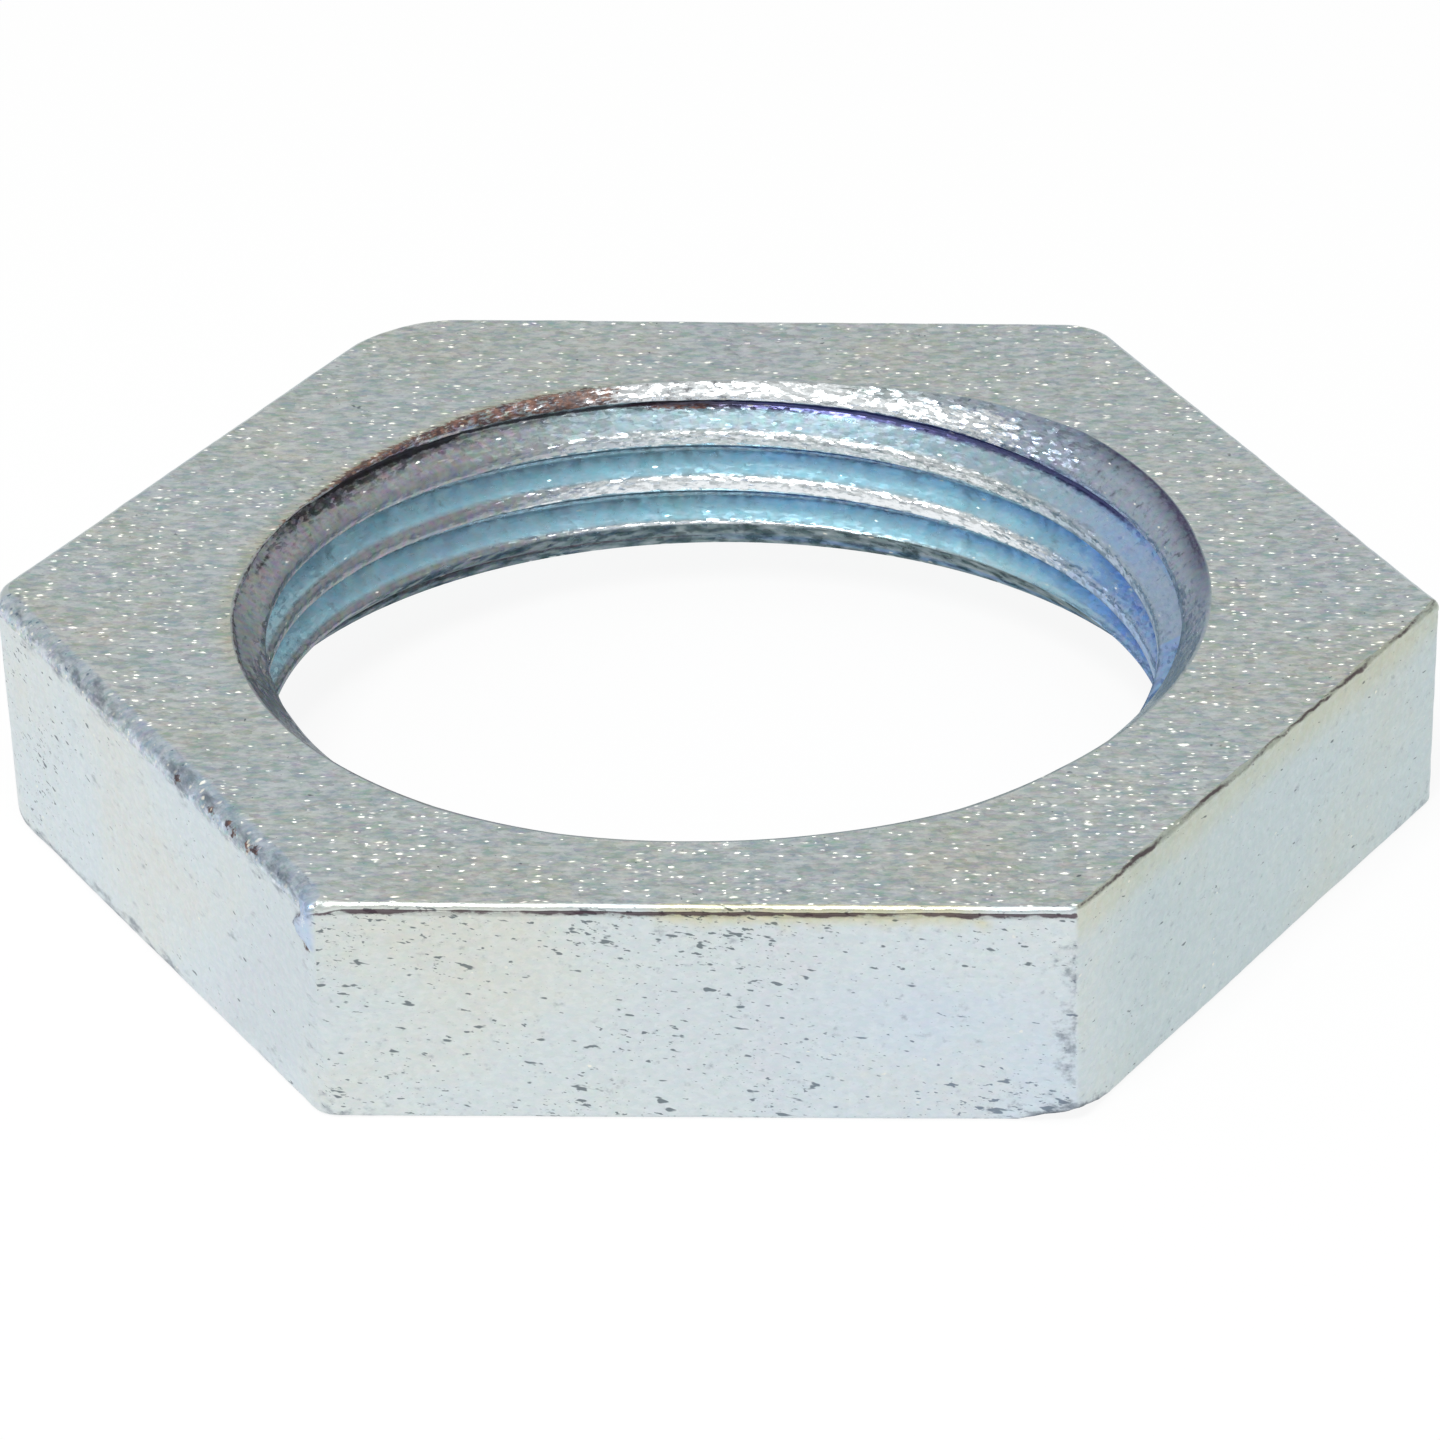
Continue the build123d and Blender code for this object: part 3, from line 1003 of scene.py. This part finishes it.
# %% Weather
# painted shade multiplies the metal darker; yellow and brown are tints, brown partly painted shade
SHADES = {"shade": (0.74, 0.80, 0.78, 1), "yellow": (1.0, 0.88, 0.60, 1), "brown": (0.40, 0.30, 0.33, 1)}
FILMS = {
    # mask: the share of the metal that it covers, its colour and how mottled that is
    "violet": (0.95, (0.37, 0.56, 0.95, 1), 0.38),
    "dull": (0.85, (0.43, 0.425, 0.455, 1), 0.6),
    "teal": (1.0, (0.51, 0.85, 1.0, 1), 0.38),
    # no film: painted shade in dark teal, low in the bore and on the left
    "deep_shade": (0.95, (0.055, 0.115, 0.135, 1), 0.38),
}
# white of the painted highlights
HIGHLIGHT_WHITE = (0.95, 0.98, 1.0, 1)
# colour of grime and painted shade
GRIME_AND_SHADE = (0.17, 0.20, 0.25, 1)
# colour of soot and painted shade
SOOT_AND_SHADE = (0.035, 0.03, 0.04, 1)
# colours of the dark lines, which are mostly painted shade
BROWN_LINE_SHADE, BLUE_LINE_SHADE = (0.075, 0.035, 0.055, 1), (0.055, 0.035, 0.18, 1)
DARK_RUST, PALE_RUST = (0.07, 0.025, 0.03, 1), (0.26, 0.12, 0.075, 1)
LEFT_SIDE = math.radians(210)

weather, given, result = start_group(
    "weather",
    {"Colour": "Color", "Vector": "Vector", "Streaks": "Vector"},
    {"Colour": "Color", "Roughening": "Float"},
)
breaks = noise_of(weather, given["Vector"], 2.2, 5.0, 0.65)["Fac"]
specks = noise_of(weather, given["Streaks"], 5.0, 4.0, 0.65)["Fac"]
# soft spots are drawn out along the left-front side, where most of the grime and painted shade is
drawn_out = vector_of(weather, "MULTIPLY", turned_by(weather, given["Vector"], -LEFT_SIDE), (1.0, 0.4, 1.2))
soft_spots = noise_of(weather, drawn_out, 2.1, 3.0, 0.6)["Fac"]
cloudy = noise_of(weather, given["Vector"], 2.5, 3.0)["Color"]


def broken(name, low, high, grain, depth=1.4):
    """A mask from the mesh, broken up by one of the noises."""
    swing = math_of(weather, "MULTIPLY_ADD", grain, depth, -depth / 2)
    return ease_of(weather, math_of(weather, "ADD", mask_of(weather, name), swing), low, high)


def softly(name, low, high, least, most):
    """A mask from the mesh, a little weaker where the noise is low."""
    unevenness = ease_of(weather, breaks, low, high, least, most)
    return math_of(weather, "MULTIPLY", mask_of(weather, name), unevenness, clamp=True)


def covered(colour, mask, share, stain):
    """A colour with this share of a stain over it where the mask is."""
    return mix_of(weather, math_of(weather, "MULTIPLY", mask, share), colour, stain)


colour = given["Colour"]
for name, tint in SHADES.items():
    colour = mix_of(weather, softly(name, 0.2, 0.6, 0.6, 1.0), colour, tint, "MULTIPLY")
for name, (share, tint, mottled) in FILMS.items():
    stained = mix_of(weather, mottled, tint, cloudy, "OVERLAY")
    colour = mix_of(weather, softly(name, 0.3, 0.6, 0.75 * share, share), colour, stained)
# painted highlights whiten the metal where their mask is strong
colour = mix_of(weather, broken("painted_highlight", 0.45, 1.05, specks, 2.6), colour, HIGHLIGHT_WHITE)
# grime, with painted shade on the left rolled edge
colour = covered(colour, broken("grime_and_shade", 0.18, 1.05, soft_spots, 2.4), 0.80, GRIME_AND_SHADE)
# soot, with painted shade in the first root and under the rim at the back left
soot_and_shade = broken("soot_and_shade", 0.30, 0.70, breaks)
colour = covered(colour, soot_and_shade, 0.85, SOOT_AND_SHADE)
# dark lines of painted shade, brown, turning blue where the metal is violet
line_shade = mix_of(weather, mask_of(weather, "violet"), BROWN_LINE_SHADE, BLUE_LINE_SHADE)
colour = covered(colour, broken("line", 0.25, 0.80, specks, 0.9), 0.85, line_shade)
rust = broken("rust", 0.40, 0.85, specks, 2.2)
rust_colour = mix_of(weather, ease_of(weather, breaks, 0.4, 0.6), DARK_RUST, PALE_RUST)
colour = covered(colour, rust, 0.85, rust_colour)
weather.links.new(colour, result["Colour"])
weather.links.new(math_of(weather, "MAXIMUM", soot_and_shade, rust, clamp=True), result["Roughening"])
print("weather made of", len(weather.nodes), "nodes")

# %% [markdown]
# ## The plated surfaces
# The face, the flats, the thread and the seat share these groups, in different measure: the face is
# coarse and flashes most, the flats are smoother and pitted, and the thread is streaked. Where the
# flanks are teal the crystals lie flatter, and where painted shade darkens the metal they lean away
# from the light.

# %% The plated surfaces
ALIKE = (1.0, 1.0, 1.0)
SURFACES = {
    # colour and strength of the film, stretch, tilt and glinting share of the crystals, stretch of
    # the pits, how dark and how light the grain is, how mottled it is, and the roughness
    # the face's colour is darker and the flats' lighter, partly as painted shade and painted light
    "plated_face": (
        (0.625, 0.66, 0.675, 1), 0.6, (0.5, 1.0, 1.0), 0.30, 0.36, ALIKE, 0.84, 1.36, 0.55, 0.36,
    ),
    "plated_flat": (
        (0.705, 0.757, 0.79, 1), 0.45, (0.8, 1.2, 1.0), 0.12, 0.006, (0.7, 1.9, 1.0), 0.96, 1.05, 0.22, 0.40,
    ),
    "plated_thread": (
        (0.60, 0.66, 0.69, 1), 0.4, (0.6, 1.6, 1.0), 0.25, 0.02, (1.6, 0.9, 1.0), 0.86, 1.16, 0.22, 0.30,
    ),
    "plated_seat": (
        (0.60, 0.66, 0.67, 1), 0.8, ALIKE, 0.30, 0.10, ALIKE, 0.85, 1.2, 0.22, 0.38,
    ),
}
UNROLLED = ("plated_thread", "plated_flat")
PIT_COLOUR = (0.07, 0.10, 0.125, 1)
# colour the glints are painted in: a painted highlight
GLINT_COLOUR = (1.0, 0.97, 0.86, 1)
SLANT = 0.15


def plating(
    name, base, film_strength, crystal_stretch, tilt, glints, pit_stretch, darker, lighter, mottled, rough
):
    """Zinc plating in one of its four finishes."""
    material = bpy.data.materials.new(name)
    material.use_nodes = True
    tree = material.node_tree
    shader = tree.nodes["Principled BSDF"].inputs
    places = node(tree, "ShaderNodeTexCoord").outputs
    in_mm = vector_of(tree, "SCALE", places["Object"], scale=1 / MM)
    drawn = places["UV"] if name in UNROLLED else in_mm
    grainy = vector_of(tree, "MULTIPLY", drawn, crystal_stretch)
    pit_place = vector_of(tree, "MULTIPLY", turned_by(tree, drawn, SLANT), pit_stretch)
    full_tilt = math_of(tree, "MULTIPLY_ADD", mask_of(tree, "torn"), 0.7, tilt)
    full_tilt = math_of(tree, "MULTIPLY_ADD", mask_of(tree, "teal"), -0.13, full_tilt)
    lift = math_of(tree, "MULTIPLY_ADD", mask_of(tree, "teal"), -0.08, mask_of(tree, "deep_shade"))
    crystal = use_group(tree, crystals, {"Vector": grainy, "Tilt": full_tilt, "Glints": glints, "Lift": lift})
    pit = use_group(tree, pits, {"Vector": pit_place, "Amount": mask_of(tree, "pitting")})
    tint = use_group(tree, film, {"Vector": in_mm, "Strength": film_strength})

    mottle = noise_of(tree, grainy, 2.8, 4.0, 0.7)
    uneven = math_of(tree, "MULTIPLY_ADD", crystal["Fleck"], 0.30, mottle["Fac"])
    colour = mix_of(tree, 1.0, base, tint["Tint"], "MULTIPLY")
    colour = vector_of(tree, "SCALE", colour, scale=ease_of(tree, uneven, 0.40, 1.0, darker, lighter))
    colour = mix_of(tree, mottled, colour, mottle["Color"], "OVERLAY")
    colour = mix_of(tree, math_of(tree, "MULTIPLY", pit["Mask"], 0.78), colour, PIT_COLOUR)
    stains = use_group(tree, weather, {"Colour": colour, "Vector": in_mm, "Streaks": grainy})
    # painted highlight: glints painted near white, on top of the lamp they catch
    glint = math_of(tree, "MULTIPLY", crystal["Glint"], 0.8)
    tree.links.new(mix_of(tree, glint, stains["Colour"], GLINT_COLOUR), shader["Base Color"])
    tree.links.new(crystal["Normal"], shader["Normal"])

    roughness = math_of(tree, "MULTIPLY_ADD", stains["Roughening"], 0.35, rough)
    roughness = math_of(tree, "MULTIPLY_ADD", crystal["Glint"], 0.20, roughness)
    swing = math_of(tree, "SUBTRACT", mottle["Fac"], 0.5)
    roughness = math_of(tree, "MULTIPLY_ADD", swing, 0.2, roughness, clamp=True)
    tree.links.new(roughness, shader["Roughness"])
    shader["Metallic"].default_value = 0.9
    return material


for name, values in SURFACES.items():
    material = plating(name, *values)
    nut_mesh.materials.append(material)
    print(name, "made of", len(material.node_tree.nodes), "nodes")
# the films in the bore swallow part of what skims along it
bore_shader = bpy.data.materials["plated_thread"].node_tree.nodes["Principled BSDF"]
bore_shader.inputs["Specular Tint"].default_value = (0.55, 0.62, 0.66, 1)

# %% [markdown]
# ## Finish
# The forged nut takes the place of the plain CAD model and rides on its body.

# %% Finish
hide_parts("locknut")
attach(nut, "root")
